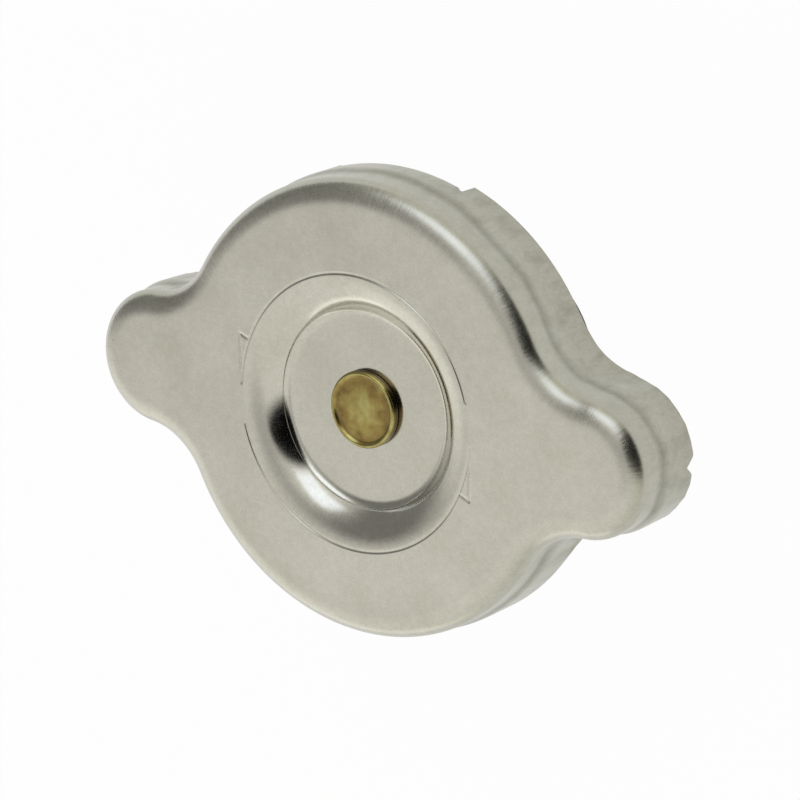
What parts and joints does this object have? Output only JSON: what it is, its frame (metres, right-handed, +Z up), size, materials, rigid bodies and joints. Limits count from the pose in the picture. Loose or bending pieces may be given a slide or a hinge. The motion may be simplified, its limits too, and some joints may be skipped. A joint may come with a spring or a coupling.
{
  "type": "radiator cap",
  "caption": "Round bayonet radiator cap with grip ears and a riveted, dished steel crown, carrying a sprung pressure valve, a rubber gasket and a vacuum valve.",
  "frame": {"origin": "centre of the gasket's sealing face, on the cap's axis and at its lowest level", "axes": "+Z up the cap's axis from the gasket to the crown, +X along the line of the two grip ears"},
  "size_m": [0.086, 0.06, 0.0327],
  "materials": {
    "tinned_steel": "satin plated sheet, lightly handled",
    "rivet_brass": "dull, slightly tarnished brass",
    "diaphragm_steel": "bright rolled spring steel",
    "zinc_steel": "zinc plated stamping",
    "spring_wire": "drawn spring wire",
    "valve_brass": "clean stamped brass",
    "seal_rubber": "matt black moulded rubber"
  },
  "bodies": {
    "crown": {"shell": "tinned_steel"},
    "carrier": {"rivet": "rivet_brass", "diaphragm": "diaphragm_steel", "spring_seat": "zinc_steel", "hanger": "zinc_steel", "pressure_spring": "spring_wire"},
    "pressure_valve": {"valve_turret": "zinc_steel", "valve_plate": "valve_brass", "gasket": "seal_rubber", "vacuum_spring": "spring_wire"},
    "vacuum_valve": {"vacuum_disc": "valve_brass", "vacuum_stem": "valve_brass", "vacuum_keeper": "valve_brass"}
  },
  "joints": [
    {"name": "valve_swivel", "type": "hinge", "parent": "crown", "child": "carrier", "pos_m": [0, 0, 0.0292], "axis": [0, 0, 1], "continuous": true},
    {"name": "pressure_lift", "type": "slide", "parent": "carrier", "child": "pressure_valve", "axis": [0, 0, 1], "range_m": [0, 0.0045], "stiffness_N_per_m": 4000, "springref_m": -0.003, "deforming": ["pressure_spring"]},
    {"name": "vacuum_open", "type": "slide", "parent": "pressure_valve", "child": "vacuum_valve", "axis": [0, 0, -1], "range_m": [0, 0.0015], "stiffness_N_per_m": 120, "springref_m": -0.003, "deforming": ["vacuum_spring"]}
  ]
}
